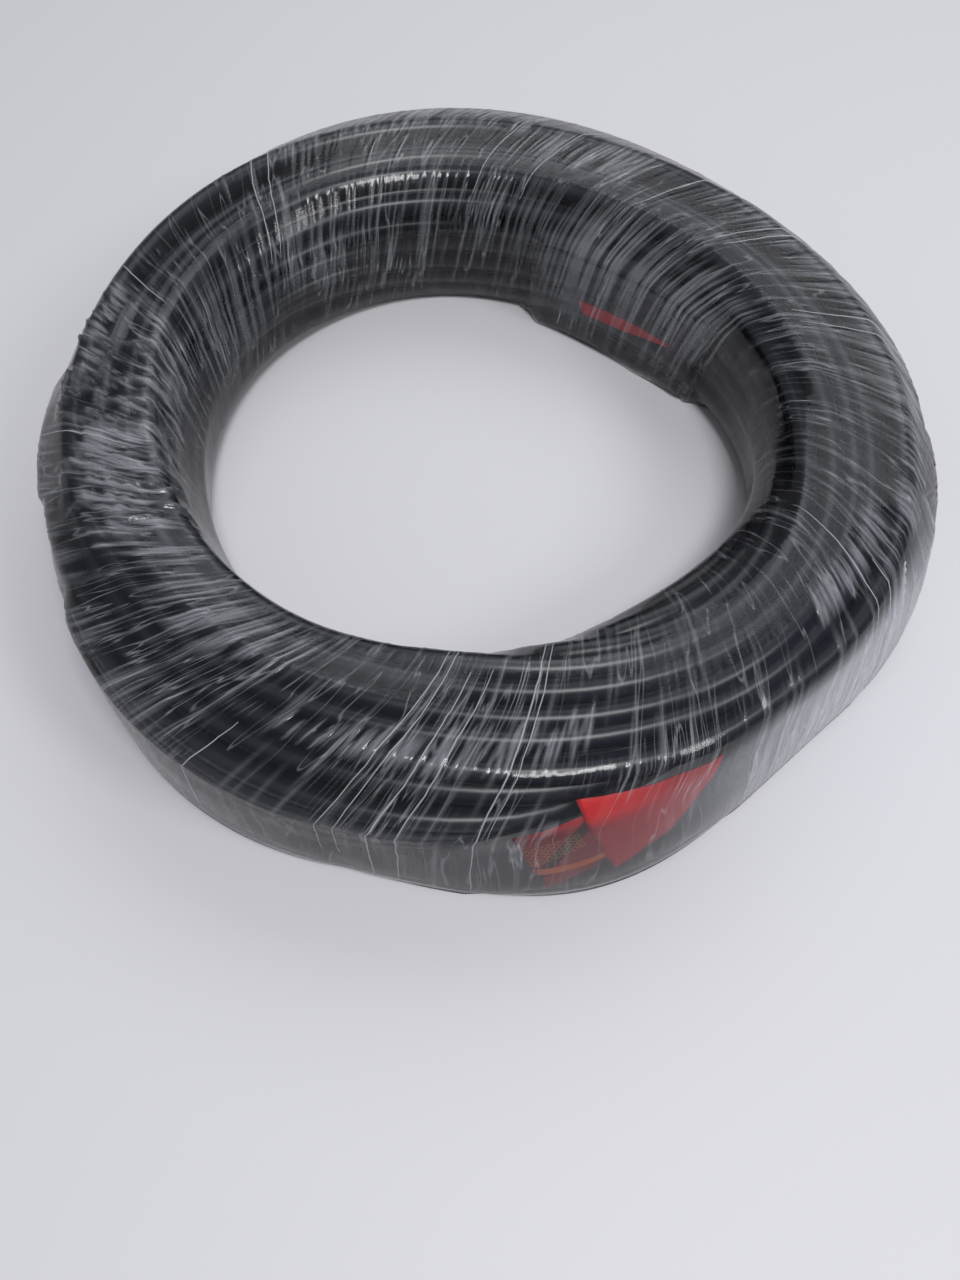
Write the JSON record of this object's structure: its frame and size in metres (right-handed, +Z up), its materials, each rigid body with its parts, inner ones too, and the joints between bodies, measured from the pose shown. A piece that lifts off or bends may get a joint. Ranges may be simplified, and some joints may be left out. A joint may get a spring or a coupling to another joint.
{
  "type": "network cable coil",
  "caption": "Coil of black network cable lying flat, wrapped through its bore in clear stretch film, with a folded red label card under the film.",
  "frame": {"origin": "middle of the bounding box on the floor under the coil", "axes": "+Z up along the bore, -Y towards the front, where the label card shows, +X to the right"},
  "size_m": [0.235, 0.2442, 0.0443],
  "materials": {
    "cable_jacket": "satin black polyethylene jacket",
    "clear_film": "clear stretch film, glossy, wrinkled",
    "red_card": "red card, printed on one side",
    "red_paper": "plain red paper"
  },
  "bodies": {
    "root": {"cable_coil": "cable_jacket", "stretch_film": "clear_film", "label_card": "red_card", "label_slip": "red_paper"}
  },
  "joints": []
}
